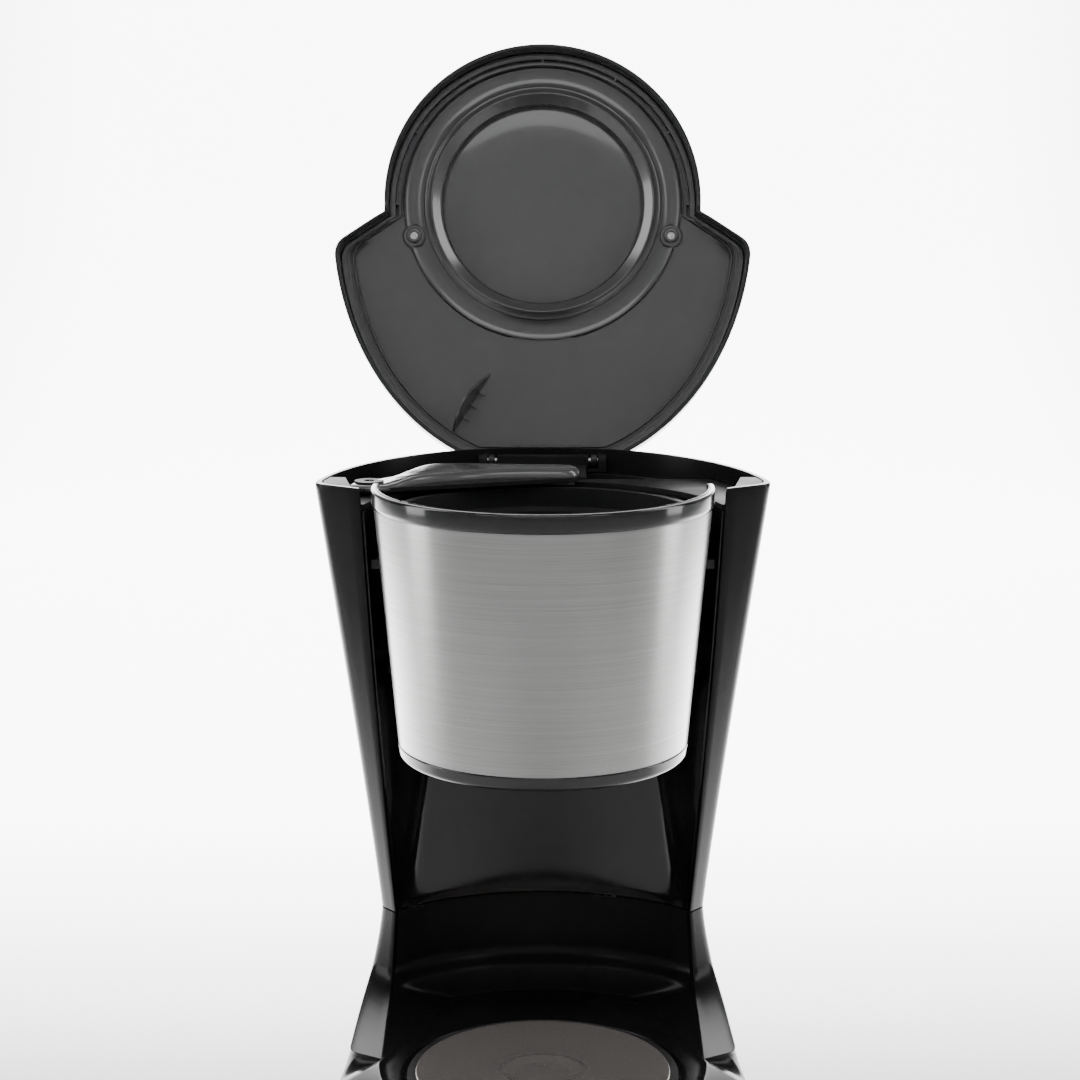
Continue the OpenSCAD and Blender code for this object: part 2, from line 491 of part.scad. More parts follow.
// ---- filter holder ----
module steel_sleeve() color([0.75, 0.75, 0.76]) front_cone(steel_low_z, steel_top_z, 0, 0.7);
module upper_band() color(black) front_cone(steel_top_z + 0.05, holder_top_z, 0.3, 3);
module lower_band() color(black) difference() {
    rotate_extrude() polygon([[12, holder_low_z], [steel_r(holder_low_z) - 0.6, holder_low_z],
        [steel_r(holder_low_z) + 0.3, holder_low_z + 1], [steel_low_r + 0.3, steel_low_z - 0.05],
        [steel_low_r - 3.2, steel_low_z - 0.05], [steel_low_r - 3.4, holder_low_z + 2.2],
        [12, holder_low_z + 2.2]]);
    for (a = [45:90:315]) rotate([0, 0, a]) hole_at([40, 0], 1.7, 180, 200);
}
module holder_shell() color(black) front_cone(steel_low_z, steel_top_z, -0.75, 2);
module filter_basket() color([0.1, 0.1, 0.1]) difference() {
    union() {
        rotate_extrude() polygon([[5, 193], [steel_r(193) - 4.6, 193], [steel_r(basket_rim_z) - 3.7, 284],
            [steel_r(basket_rim_z) - 3.7, basket_rim_z], [steel_r(basket_rim_z) - 7, basket_rim_z],
            [steel_r(basket_rim_z) - 7, 282], [steel_r(basket_rim_z) - 8.6, 280],
            [steel_r(193) - 6.4, 195.2], [5, 195.2]]);
        for (a = [0:30:330]) rotate([0, 0, a]) rotate([90, 0, 0]) translate([0, 0, -0.6]) linear_extrude(1.2)
            polygon([[51.5, 194], [55, 194], [60.6, 278], [58.6, 278]]);
        for (a = [15:60:315]) rotate([0, 0, a]) box([8, -0.6, 195], [50, 0.6, 197]);
        for (s = [-1, 1]) lug(s);
    }
    translate([0, 0, 190]) cylinder(r = 5.1, h = 20);
}
// One of the two lugs by which the holder sits on the bay's ledges
module lug(side) mirror([side > 0 ? 0 : 1, 0, 0])
    box([58, 21, rail_z + 4.3], [70.2, 29, rail_z + 7.3]);
module valve_seat() color(dark) difference() {
    union() {
        translate([0, 0, 181]) ring(6.6, 11.9, 12);
        translate([0, 0, 191.2]) ring(4.6, 11.9, 1.8);
    }
    translate([0, 0, 180]) cylinder(r = 6.6, h = 10.4);
}
module valve_plunger() color([0.25, 0.25, 0.25]) union() {
    translate([0, 0, 178.5]) cylinder(r = 6.2, h = 4);
    translate([0, 0, 182]) cylinder(r = 2, h = 12);
    translate([0, 0, 196.6]) cylinder(r = 5.5, h = 1.4);
    translate([0, 0, 193.9]) cylinder(r = 2, h = 3);
}
module valve_seal() color([0.7, 0.3, 0.2]) translate([0, 0, 195.3]) ring(2, 6.4, 1.3);
module valve_spring() color("silver") translate([0, 0, 182.6]) ring(2.6, 4.2, 8);

base_housing();
base_cover();
rubber_feet();
base_screws();
hot_plate();
plate_seal();
heater_casting();
heater_terminals();
heater_clamp();
thermostat();
thermal_fuse();
cold_hose();
hot_hose();
riser_tube();
hose_clips();
check_valve();
tank_strainer();
water_tank();
tower_housing();
bay_panel();
column_caps();
top_deck();
bridge_cover();
level_window();
hinge_bracket();
hinge_pins();
cord_gland();
switch_bezel();
switch_module();
wire_harness();
terminal_block();
arm_pivot_pin();
lid_shell();
lid_liner();
lid_fin();
lid_screws();
water_arm();
arm_duct();
steel_sleeve();
upper_band();
lower_band();
holder_shell();
filter_basket();
valve_seat();
valve_plunger();
valve_seal();
valve_spring();
rocker();
rocker_lens();
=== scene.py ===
# Looks of a drip coffee maker: waisted black body, brushed-steel filter holder,
# open full-width lid. Shapes are in millimetres and become metres in piece().
import json
import math

import bmesh
import bpy
from mathutils import Matrix, Vector


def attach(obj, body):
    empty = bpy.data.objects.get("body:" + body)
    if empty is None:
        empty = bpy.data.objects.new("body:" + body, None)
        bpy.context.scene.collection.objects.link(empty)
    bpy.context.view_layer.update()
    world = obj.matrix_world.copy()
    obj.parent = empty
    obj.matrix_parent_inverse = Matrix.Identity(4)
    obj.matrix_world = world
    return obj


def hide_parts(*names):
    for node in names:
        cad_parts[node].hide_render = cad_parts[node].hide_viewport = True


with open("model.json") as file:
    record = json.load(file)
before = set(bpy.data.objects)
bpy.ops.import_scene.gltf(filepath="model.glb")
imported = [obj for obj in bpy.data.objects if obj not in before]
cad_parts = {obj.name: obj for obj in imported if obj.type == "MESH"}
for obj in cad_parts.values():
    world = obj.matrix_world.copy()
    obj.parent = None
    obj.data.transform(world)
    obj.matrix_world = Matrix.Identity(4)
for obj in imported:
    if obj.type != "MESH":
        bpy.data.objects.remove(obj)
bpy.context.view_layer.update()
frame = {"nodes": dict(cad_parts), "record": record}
nodes = frame["nodes"]

MM = 0.001  # one millimetre in scene units

# ---------------------------------------------------------------- camera
CAMERA_DIP = 10.62  # degrees below the level

cam = bpy.data.objects.new("camera", bpy.data.cameras.new("camera"))
bpy.context.scene.collection.objects.link(cam)
cam.location = (-0.00125, -0.994, 0.465)
cam.rotation_euler = (math.radians(90 - CAMERA_DIP), 0, 0)
cam.data.lens = 80.13
cam.data.sensor_width = 36
cam.data.clip_start = 0.01
bpy.context.scene.camera = cam


# ---------------------------------------------------------------- materials
def graph(name):
    m = bpy.data.materials.new(name)
    m.use_nodes = True
    return m, m.node_tree, m.node_tree.nodes["Principled BSDF"]


def put(tree, kind, **inputs):
    n = tree.nodes.new(kind)
    for k, v in inputs.items():
        n.inputs[k.replace("_", " ")].default_value = v
    return n


def noise(tree, scale, stretch=(1, 1, 1), detail=4.0, rough=0.55):
    """Noise in object space; stretch above 1 packs it tighter along that axis."""
    tc = tree.nodes.new("ShaderNodeTexCoord")
    mp = put(tree, "ShaderNodeMapping", Scale=stretch)
    n = put(tree, "ShaderNodeTexNoise", Scale=scale, Detail=detail, Roughness=rough)
    tree.links.new(tc.outputs["Object"], mp.inputs["Vector"])
    tree.links.new(mp.outputs[0], n.inputs["Vector"])
    return n.outputs["Fac"]


def ranged(tree, fac, lo, hi, a=0.3, b=0.7):
    """A value from a to b becomes one from lo to hi, held at both ends."""
    r = put(tree, "ShaderNodeMapRange")
    for i, v in enumerate((a, b, lo, hi)):
        r.inputs[i + 1].default_value = v
    tree.links.new(fac, r.inputs[0])
    return r.outputs[0]


def toned(tree, fac, dark, light):
    """A noise value becomes a colour between dark and light."""
    r = tree.nodes.new("ShaderNodeValToRGB")
    r.color_ramp.elements[0].position, r.color_ramp.elements[1].position = 0.3, 0.72
    r.color_ramp.elements[0].color = (*dark, 1)
    r.color_ramp.elements[1].color = (*light, 1)
    tree.links.new(fac, r.inputs[0])
    return r.outputs[0]


def relief(tree, bsdf, fac, strength, depth, edge):
    """Surface bump on top of softly rounded edges."""
    bump = put(tree, "ShaderNodeBump", Strength=strength, Distance=depth)
    tree.links.new(fac, bump.inputs["Height"])
    if edge:
        bev = put(tree, "ShaderNodeBevel", Radius=edge)
        bev.samples = 4
        tree.links.new(bev.outputs[0], bump.inputs["Normal"])
    tree.links.new(bump.outputs[0], bsdf.inputs["Normal"])


def plastic(name, dark, light, rough, grain=900, strength=0.25, depth=3e-5, edge=4e-4,
            coat=0.0, shine=0.5):
    """Moulded plastic: faint colour drift, uneven gloss, fine grain and rounded edges."""
    m, t, b = graph(name)
    t.links.new(toned(t, noise(t, 22), dark, light), b.inputs["Base Color"])
    t.links.new(ranged(t, noise(t, 60, detail=6), *rough), b.inputs["Roughness"])
    b.inputs["IOR"].default_value = 1.5
    b.inputs["Specular IOR Level"].default_value = shine
    b.inputs["Coat Weight"].default_value = coat
    b.inputs["Coat Roughness"].default_value = 0.1
    relief(t, b, noise(t, grain, detail=3), strength, depth, edge)
    return m


def metal(name, dark, light, rough, stretch=(1, 1, 1), scale=300, strength=0.15, depth=2e-5,
          edge=3e-4, bright=1.0):
    """Bare metal; a bright of less than 1 leaves some of it dull."""
    m, t, b = graph(name)
    t.links.new(toned(t, noise(t, scale, stretch), dark, light), b.inputs["Base Color"])
    t.links.new(ranged(t, noise(t, scale * 1.7, stretch, detail=6), *rough), b.inputs["Roughness"])
    b.inputs["Metallic"].default_value = bright
    relief(t, b, noise(t, scale * 2.3, stretch), strength, depth, edge)
    return m


def brushed(name):
    """Steel brushed round the drum: long fine strokes and a highlight drawn across them."""
    m, t, b = graph(name)
    strokes = noise(t, 6, (1.3, 1.3, 520), detail=10, rough=0.78)
    t.links.new(toned(t, strokes, (0.33, 0.327, 0.322), (0.53, 0.526, 0.52)), b.inputs["Base Color"])
    t.links.new(ranged(t, noise(t, 9, (1, 1, 600), detail=6), 0.27, 0.40), b.inputs["Roughness"])
    b.inputs["Metallic"].default_value = 1.0
    b.inputs["Anisotropic"].default_value = 0.85
    b.inputs["Anisotropic Rotation"].default_value = 0.25
    tan = t.nodes.new("ShaderNodeTangent")
    tan.direction_type, tan.axis = "RADIAL", "Z"
    t.links.new(tan.outputs[0], b.inputs["Tangent"])
    relief(t, b, strokes, 0.30, 2.2e-5, 0)
    return m


def clear(name, tint, rough, transmission):
    """Clear or milky plastic and silicone."""
    m, t, b = graph(name)
    t.links.new(toned(t, noise(t, 40), tuple(c * 0.85 for c in tint), tint), b.inputs["Base Color"])
    t.links.new(ranged(t, noise(t, 200), *rough), b.inputs["Roughness"])
    b.inputs["Transmission Weight"].default_value = transmission
    b.inputs["IOR"].default_value = 1.49
    relief(t, b, noise(t, 500), 0.1, 1e-5, 3e-4)
    return m


M = {
    "gloss_black": plastic("gloss_black", (0.0075, 0.0075, 0.008), (0.012, 0.012, 0.0125),
                           (0.07, 0.16), grain=260, strength=0.08, depth=2e-5, edge=6e-4, coat=0.35),
    "body_black": plastic("body_black", (0.0085, 0.0085, 0.009), (0.0098, 0.0098, 0.0103),
                          (0.20, 0.26), grain=700, strength=0.12, depth=2e-5, edge=6e-4, shine=0.13),
    "lid_black": plastic("lid_black", (0.027, 0.027, 0.0275), (0.030, 0.030, 0.0305),
                         (0.20, 0.26), grain=700, strength=0.1, depth=2e-5, edge=5e-4, shine=0.3),
    "bay_black": plastic("bay_black", (0.0075, 0.0075, 0.008), (0.0085, 0.0085, 0.009),
                         (0.06, 0.10), grain=260, strength=0.05, depth=2e-5, edge=6e-4, shine=0.42),
    "satin_black": plastic("satin_black", (0.015, 0.015, 0.016), (0.019, 0.019, 0.020),
                           (0.40, 0.52), shine=0.13),
    "lid_grey": plastic("lid_grey", (0.056, 0.056, 0.0565), (0.066, 0.066, 0.0665),
                        (0.285, 0.335), grain=260, strength=0.02, edge=2.5e-4, coat=1.0),
    "arm_grey": plastic("arm_grey", (0.085, 0.085, 0.086), (0.105, 0.105, 0.106),
                        (0.16, 0.26), grain=500, strength=0.12, coat=0.7),
    "tank_black": plastic("tank_black", (0.012, 0.012, 0.013), (0.02, 0.02, 0.021), (0.16, 0.28)),
    "brushed_steel": brushed("brushed_steel"),
    "plate_metal": metal("plate_metal", (0.40, 0.365, 0.35), (0.44, 0.405, 0.39),
                         (0.13, 0.20), scale=600, strength=0.02, bright=0.65),
    "zinc": metal("zinc", (0.55, 0.55, 0.56), (0.72, 0.72, 0.74), (0.22, 0.36)),
    "aluminium": metal("aluminium", (0.62, 0.62, 0.64), (0.78, 0.78, 0.80), (0.32, 0.46),
                       (1, 1, 4)),
    "silicone": clear("silicone", (0.78, 0.78, 0.75), (0.35, 0.5), 0.35),
    "rubber_black": plastic("rubber_black", (0.012, 0.012, 0.012), (0.022, 0.022, 0.022),
                            (0.62, 0.78), strength=0.4),
    "valve_grey": plastic("valve_grey", (0.15, 0.15, 0.15), (0.2, 0.2, 0.2), (0.35, 0.5)),
    "ceramic_white": plastic("ceramic_white", (0.62, 0.61, 0.57), (0.76, 0.75, 0.71), (0.4, 0.55)),
    "clear_window": clear("clear_window", (0.42, 0.45, 0.48), (0.06, 0.14), 0.85),
    "wire_sleeve": plastic("wire_sleeve", (0.22, 0.22, 0.24), (0.36, 0.36, 0.38),
                           (0.6, 0.8), grain=2600, strength=0.6),
    "amber_lens": clear("amber_lens", (0.85, 0.22, 0.04), (0.1, 0.2), 0.6),
}
for part in frame["record"]["subparts"]:
    data = nodes[part["node"]].data
    data.materials.clear()
    data.materials.append(M[part["material_slot"]])


# ---------------------------------------------------------------- mesh helpers
def lerp(a, b, t):
    return a + (b - a) * t


def clamp01(t):
    return min(1.0, max(0.0, t))


def smooth(t):
    t = clamp01(t)
    return t * t * (3 - 2 * t)


def span(a, b, n):
    return [lerp(a, b, i / n) for i in range(n + 1)]


def span_v(a, b, n):
    return [a + (b - a) * (i / n) for i in range(n + 1)]


HINGE = Vector((0, 127, 293))
LID_TURN = 105  # degrees from closed to open


def opened(p):
    """A closed lid's point, in millimetres, where it lies with the lid open."""
    return HINGE + Matrix.Rotation(math.radians(-LID_TURN), 3, "X") @ (Vector(p) - HINGE)


def piece(name, verts, faces, body, slot, stands_for=(), edge=0.0, seg=3, limit=30, place=None):
    """A mesh in millimetres becomes a smooth-shaded piece that rides on a body."""
    if place:
        verts = [place(v) for v in verts]
    bm = bmesh.new()
    vs = [bm.verts.new(Vector(v) * MM) for v in verts]
    for f in faces:
        ids = list(dict.fromkeys(f))
        if len(ids) > 2:
            try:
                bm.faces.new([vs[i] for i in ids])
            except ValueError:
                pass
    bmesh.ops.remove_doubles(bm, verts=bm.verts, dist=2e-6)
    bmesh.ops.dissolve_degenerate(bm, edges=bm.edges, dist=1e-6)
    bmesh.ops.recalc_face_normals(bm, faces=bm.faces)
    for e in bm.edges:
        e.smooth = len(e.link_faces) == 2 and e.calc_face_angle(0) <= math.radians(limit)
    for f in bm.faces:
        f.smooth = True
    mesh = bpy.data.meshes.new(name)
    bm.to_mesh(mesh)
    bm.free()
    o = bpy.data.objects.new(name, mesh)
    bpy.context.scene.collection.objects.link(o)
    if edge:
        b = o.modifiers.new("edge", "BEVEL")
        b.width, b.segments, b.limit_method = edge * MM, seg, "ANGLE"
        b.angle_limit = math.radians(limit)
    mesh.materials.append(M[slot])
    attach(o, body)
    if stands_for:
        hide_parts(*stands_for)
    return o


def grid(rings, around=False, along=False):
    """Faces of a net of rings; around closes each ring, along joins the last ring to the first."""
    n, m = len(rings[0]), len(rings)
    verts = [p for r in rings for p in r]
    faces = [[i * n + k, i * n + (k + 1) % n, (i + 1) % m * n + (k + 1) % n, (i + 1) % m * n + k]
             for i in range(m if along else m - 1) for k in range(n if around else n - 1)]
    return verts, faces


def merged(*parts):
    """Several meshes as one."""
    verts, faces = [], []
    for v, f in parts:
        faces += [[i + len(verts) for i in g] for g in f]
        verts += v
    return verts, faces


def strip_caps(rings):
    """End faces of a loft whose rings run out along one side and back along the other."""
    n, last = len(rings[0]), (len(rings) - 1) * len(rings[0])
    return [[k + o, k + 1 + o, n - 2 - k + o, n - 1 - k + o]
            for o in (0, last) for k in range(n // 2 - 1)]


def ring_point(r, z, a):
    return r * math.cos(a), r * math.sin(a), z


def lathe(name, profile, body, slot, stands_for=(), a0=0, a1=360, n=180, closed=True):
    """Turns a profile of (r, z) about the drum's axis, all round or over an arc."""
    full = a1 - a0 >= 360
    angles = span(a0, a1, n)[:-1] if full else span(a0, a1, n)
    rings = [[ring_point(r, z, math.radians(a)) for r, z in profile] for a in angles]
    verts, faces = grid(rings, around=closed, along=full)
    if not full and closed:
        k = len(profile)
        faces += [list(range(k)), [(n * k) + i for i in reversed(range(k))]]
    return piece(name, verts, faces, body, slot, stands_for)


def bend_through(start, corner, end, n):
    """A corner eased into a curve of n steps."""
    return [(1 - t) ** 2 * start + 2 * t * (1 - t) * corner + t * t * end for t in span(0, 1, n)]


def rounded(points, radius, steps=5):
    """A closed polygon with its corners rounded; radius may be one number or one per corner."""
    out, n = [], len(points)
    for i, p in enumerate(points):
        p, a, b = Vector(p), Vector(points[i - 1]), Vector(points[(i + 1) % n])
        r = radius[i] if isinstance(radius, (list, tuple)) else radius
        r = min(r, (a - p).length * 0.49, (b - p).length * 0.49)
        if r <= 0:
            out.append(tuple(p))
            continue
        s, e = p + (a - p).normalized() * r, p + (b - p).normalized() * r
        out += [tuple(q) for q in bend_through(s, p, e, steps)]
    return out


def prism(outline, lo, hi, axis="z"):
    """A closed outline pushed out along z or x, with both ends closed."""
    turn = {"z": lambda u, v, w: (u, v, w), "x": lambda u, v, w: (w, u, v)}[axis]
    n = len(outline)
    verts = [turn(u, v, w) for w in (lo, hi) for u, v in outline]
    faces = [[k, (k + 1) % n, n + (k + 1) % n, n + k] for k in range(n)]
    return verts, faces + [list(reversed(range(n))), [n + k for k in range(n)]]


def mirrored(curve):
    """The other side of a plan curve, drawn back from its end."""
    return [Vector((-p.x, p.y)) for p in reversed(curve)]


# ---------------------------------------------------------------- body outline
# heights of the rim, the waist where base and tower meet, the deck and the base's lower edge
RIM, PART, DECK, FOOT = 298.5, 89.0, 42.0, 3.0
WAIST_W, WIDEST = 78.5, 100  # half widths
KNEE_DIP = 15  # how far the side's centre lies in front of the column's nose
FORE_MID_Y = 12  # centre line of the low base's front half


def rise(z):
    """0 at the waist, 1 at the rim."""
    return max(0.0, (z - PART) / (RIM - PART))


def sink(z):
    """0 at the waist, 1 at the foot."""
    return max(0.0, (PART - z) / (PART - FOOT))


def half_w(z):
    return lerp(WAIST_W, WIDEST, rise(z) ** 1.45 if z >= PART else sink(z) ** 1.35)


def front_y(z):
    """The column's front edge: at the waist far back, at the rim and the deck far forward."""
    forward = 1 - (1 - rise(z)) ** 1.8 if z >= PART else clamp01((62 - z) / 20) ** 2.2
    return lerp(72, FORE_MID_Y, forward)


def rear_y(z):
    return lerp(128, 133.5, rise(z)) if z >= PART else lerp(128, 131, sink(z))


def edge_x(z):
    return lerp(68.4, 78, rise(z)) if z >= PART else lerp(68.4, 71.5, clamp01((PART - z) / (PART - DECK)))


def mid_y(z):
    return front_y(z) + lerp(9.5, 14, clamp01(rise(z))) - KNEE_DIP


def bay_r(z):
    if z < PART:
        return lerp(96, 101, clamp01((z - DECK) / 40))
    return lerp(101, 79, math.sin(math.radians(90 * clamp01((z - 178) / 40))) ** 2)


def shell_curve(z, e, n=88):
    """Body outline from the right column's front edge round the rear to the left one."""
    a, b, yc = half_w(z) - e, rear_y(z) - mid_y(z) - e, mid_y(z)
    t0 = math.asin((KNEE_DIP + 0.8 * e) / b)
    lip = Vector((edge_x(z) + 0.3 * e, front_y(z) + 1.25 * e))
    arc = [Vector((a * math.cos(t), yc + b * math.sin(t))) for t in span(t0, math.pi - t0, n)]
    corner, d = arc[0], (arc[0] - lip)
    start = corner - d.normalized() * min(5.0, d.length * 0.45)
    bend = bend_through(start, corner, arc[2], 6)
    nose = [lip + Vector((-0.35, 0.9)), lip + Vector((-0.1, 0.25)), lip + d.normalized() * 0.5]
    if e:
        nose = [lip + Vector((-0.1, 0.2)), lip, lip + d.normalized() * 0.5]
    half = nose + span_v(nose[-1], start, 3)[1:-1] + bend
    return half + arc[3:-3] + mirrored(half)


BAY_LEAN, BAY_SETBACK = 0.36, 3.6  # slope of the bay's side faces, and how far back they start


def bay_start(z, e):
    return Vector((edge_x(z) + e - BAY_LEAN * BAY_SETBACK, front_y(z) + BAY_SETBACK))


def bay_knee(z, e):
    """Where the bay's side face meets its round back wall."""
    s, r = bay_start(z, e), bay_r(z) + e
    d = Vector((-BAY_LEAN, 1)).normalized()
    if s.length >= r:
        return s + 0.5 * d
    sd = s.dot(d)
    return s + max(0.5, -sd + math.sqrt(max(0, sd * sd - s.length_squared + r * r))) * d


def bay_curve(z, e, n=84):
    """Bay outline, its knees softened, from the right column's side face to the left one's."""
    s, k = bay_start(z, e), bay_knee(z, e)
    a0, r = math.atan2(k.y, k.x), k.length
    arc = [Vector((r * math.cos(t), r * math.sin(t))) for t in span(a0, math.pi - a0, n)]
    size = min(9.0, (k - s).length * 0.8)
    back = k + (s - k).normalized() * size if (k - s).length > 1e-6 else k
    half = span_v(s, back, 4)[:-1] + bend_through(back, k, arc[5], 8)
    return half + arc[6:-6] + mirrored(half)


def at_z(curve, z):
    return [(p.x, p.y, z) for p in curve]


# ---------------------------------------------------------------- base
SWITCH_W, SWITCH_LO, SWITCH_HI = 16, 11, 29  # the opening for the rocker: half width, bottom, top
SLACK = 0.1  # grid points this near the opening's edge belong to it


def shoulder(z):
    """How far the base has drawn in towards the deck's outline."""
    return clamp01((z - 26) / (DECK - 26)) ** 3


def fore_x(z):
    return lerp(half_w(z), edge_x(DECK) + 1.2, shoulder(z))


def fore_y(z):
    return lerp(-96, -90, clamp01(z / 28)) + 17 * shoulder(z)


def fore_curve(z):
    """Front half of the low base, from its left side round the front to its right side."""
    a, b = fore_x(z), FORE_MID_Y - fore_y(z)
    turn = math.acos(min(1, SWITCH_W / a))
    tl, tr = math.pi + turn, 2 * math.pi - turn
    ts = span(math.pi + 0.04, tl, 24) + span(tl, tr, 12)[1:] + span(tr, 2 * math.pi - 0.04, 24)[1:]
    return [Vector((a * math.cos(t), FORE_MID_Y + b * math.sin(t))) for t in ts]


def base_loop(z):
    """The base all round; below the deck its flank runs straight where the column's nose would be."""
    side, m, up = shell_curve(z, 0), 12, shoulder(z)
    flat = span_v(Vector((fore_x(z), FORE_MID_Y)), side[m], m)[:-1]
    side[:m] = [a.lerp(b, up) for a, b in zip(flat, side[:m])]
    side[-m:] = mirrored(side[:m])
    return at_z(side + fore_curve(z), z)


def in_switch(p):
    return abs(p[0]) < SWITCH_W + 0.01 and p[1] < 0 and SWITCH_LO - SLACK < p[2] < SWITCH_HI + SLACK


heights = [FOOT, 3.6, 5, 8, SWITCH_LO, 14, 17, 20, 23, 26, SWITCH_HI, 31, 33, 35, 36.5, 38, 39, 40,
           40.8, 41.4, 41.8, DECK]
low_v, low_f = grid([base_loop(z) for z in heights], around=True)
low = (low_v, [f for f in low_f if not all(in_switch(low_v[i]) for i in f)])
ups = span(DECK, PART - 0.35, 30)
skirt = grid([at_z(shell_curve(z, 0), z) for z in ups])
wall = grid([at_z(bay_curve(z, 0), z) for z in ups])
lips = [grid([[(s * p.x, p.y, z) for p in (bay_curve(z, 0)[0], shell_curve(z, 0)[0])] for z in ups])
        for s in (1, -1)]

# deck: from the crest and the bay's foot in to the ring round the hot plate
PLATE_RING = 62.6
nose = shell_curve(DECK, 0)[0]
edge_loop = bay_curve(DECK, 0) + [Vector((-nose.x, nose.y))] + fore_curve(DECK) + [nose]


def deck_z(p, r):
    """Height of the deck at radius r on the way in from the outline's point p."""
    d = p.length - r
    rear = smooth((p.y - 40) / 30)
    z = DECK - 0.9 * smooth(d / 3.0) * (1 - rear) - rear * 1.5 * smooth((d - 3.2) / 1.0)
    return z - 1.4 * smooth((PLATE_RING - 0.2 - r) / 1.2)


def deck_net():
    rings = []
    for f in [0, 0.01, 0.03, 0.06, 0.1, 0.16, 0.24, 0.34, 0.46, 0.6, 0.74, 0.86, 0.94, 1.0]:
        rings.append([(lerp(p.length, PLATE_RING, f), p, 0) for p in edge_loop])
    for r, drop in ((62.3, 0), (61.9, 0), (61.4, 0), (60.9, 0), (60.2, 0), (59.6, 0), (59.55, 3.5)):
        rings.append([(r, p, drop) for p in edge_loop])
    return grid([[(*(p.normalized() * r), deck_z(p, r) - drop) for r, p, drop in ring]
                 for ring in rings], around=True)


piece("base_body", *merged(low, skirt, wall, *lips, deck_net()), "root", "body_black", ("base_housing",),
      edge=0.5, limit=38)

# bottom lip of the base, turned in towards the cover
foot_in = [[(x * f, y * f + (1 - f) * 16, z) for x, y, _ in base_loop(FOOT)]
           for f, z in ((1, FOOT), (0.992, FOOT), (0.975, FOOT), (0.974, 6))]
piece("base_lip", *grid(foot_in, around=True), "root", "body_black", edge=0.2)

# ---------------------------------------------------------------- tower
tower_z = [PART + 0.35, PART + 0.9] + span(PART + 3, RIM - 1.6, 64) + [RIM - 0.7, RIM - 0.2, RIM]


def soft_top(z):
    """How far the rim's edge is drawn in near its top."""
    return 0.9 * max(0.0, (z - (RIM - 1.2)) / 1.2) ** 2


def skin(z):
    """Outer and inner face of the tower's wall."""
    outer, inner = shell_curve(z, soft_top(z) * 0.5), shell_curve(z, 2.5)
    return at_z(outer + list(reversed(inner)), z)


def with_caps(rings):
    v, f = grid(rings, around=True)
    return v, f + strip_caps(rings)


piece("tower_body", *with_caps([skin(z) for z in tower_z]), "root", "body_black",
      ("tower_housing",), edge=0.5, limit=38)

panel_z = [PART + 0.35] + span(PART + 2, 288.1, 60)
panel = [at_z(bay_curve(z, 2.4) + list(reversed(bay_curve(z, 0))), z) for z in panel_z]
rails = [prism(rounded([(s * 67.2, 21), (s * 75.2, 21), (s * 71.6, 36), (s * 67.2, 36)], 1.0), 262, 266)
         for s in (1, -1)]
piece("bay_wall", *merged(with_caps(panel), *rails), "root", "bay_black", ("bay_panel",),
      edge=0.4, limit=38)


# ---------------------------------------------------------------- filter holder
STEEL_LO, STEEL_HI, BAND_HI = 192.5, 294, 302  # lower and upper edge of the steel, top of its band
STEEL_R, STEEL_T = 71, 0.7
WRAP = {"a0": 270 - 93, "a1": 270 + 93}  # steel and band go round the front, open at the rear


def steel_r(z):
    return lerp(61.6, STEEL_R, (z - STEEL_LO) / (STEEL_HI - STEEL_LO))


band_r = steel_r(BAND_HI)
sleeve = [(steel_r(STEEL_LO) - STEEL_T, STEEL_LO), (steel_r(STEEL_LO), STEEL_LO), (STEEL_R, STEEL_HI),
          (STEEL_R - STEEL_T, STEEL_HI)]
lathe("steel_shell", rounded(sleeve, 0.3, 3), "holder", "brushed_steel", ("steel_sleeve",), **WRAP)
upper = [(steel_r(STEEL_HI) - 2.7, STEEL_HI + 0.05), (71.35, STEEL_HI + 0.05), (71.95, 295.2),
         (band_r + 0.3, 301.2), (band_r - 0.4, BAND_HI), (band_r - 2.7, BAND_HI)]
lathe("top_band", rounded(upper, [0.3, 0.5, 1.0, 0.9, 0.8, 0.5], 5), "holder", "gloss_black",
      ("upper_band",), **WRAP)
lower = [(12, 186.5), (steel_r(186.5) - 0.9, 186.5), (steel_r(187.5) + 0.3, 188.2),
         (61.9, STEEL_LO - 0.05), (58.4, STEEL_LO - 0.05), (58.2, 188.7), (12, 188.7)]
lathe("bottom_band", rounded(lower, [0.2, 1.2, 0.8, 0.5, 0.4, 1.5, 0.2], 4), "holder", "gloss_black",
      ("lower_band",))

# ---------------------------------------------------------------- hot plate
PLATE_TOP = 42.6
# (radius, depth below the plate's rim): a pressed ring in the middle, a dish, the turned-down rim
plate = [(0, 2.0), (8, 2.05), (11.4, 2.2), (12.4, 2.2), (13.2, 2.0), (16.4, 1.25), (17.2, 1.0),
         (18.2, 0.95), (18.9, 1.15), (19.8, 1.5), (21, 1.58), (36, 0.9), (50, 0.35), (53.2, 0.18),
         (54.6, 0.02), (55.2, 0), (55.7, 0.12), (55.95, 0.5), (56, 1.2), (56, 4.4), (52, 4.4)]
lathe("plate_disc", [(rad, PLATE_TOP - d) for rad, d in plate], "root", "plate_metal", ("hot_plate",),
      closed=False)


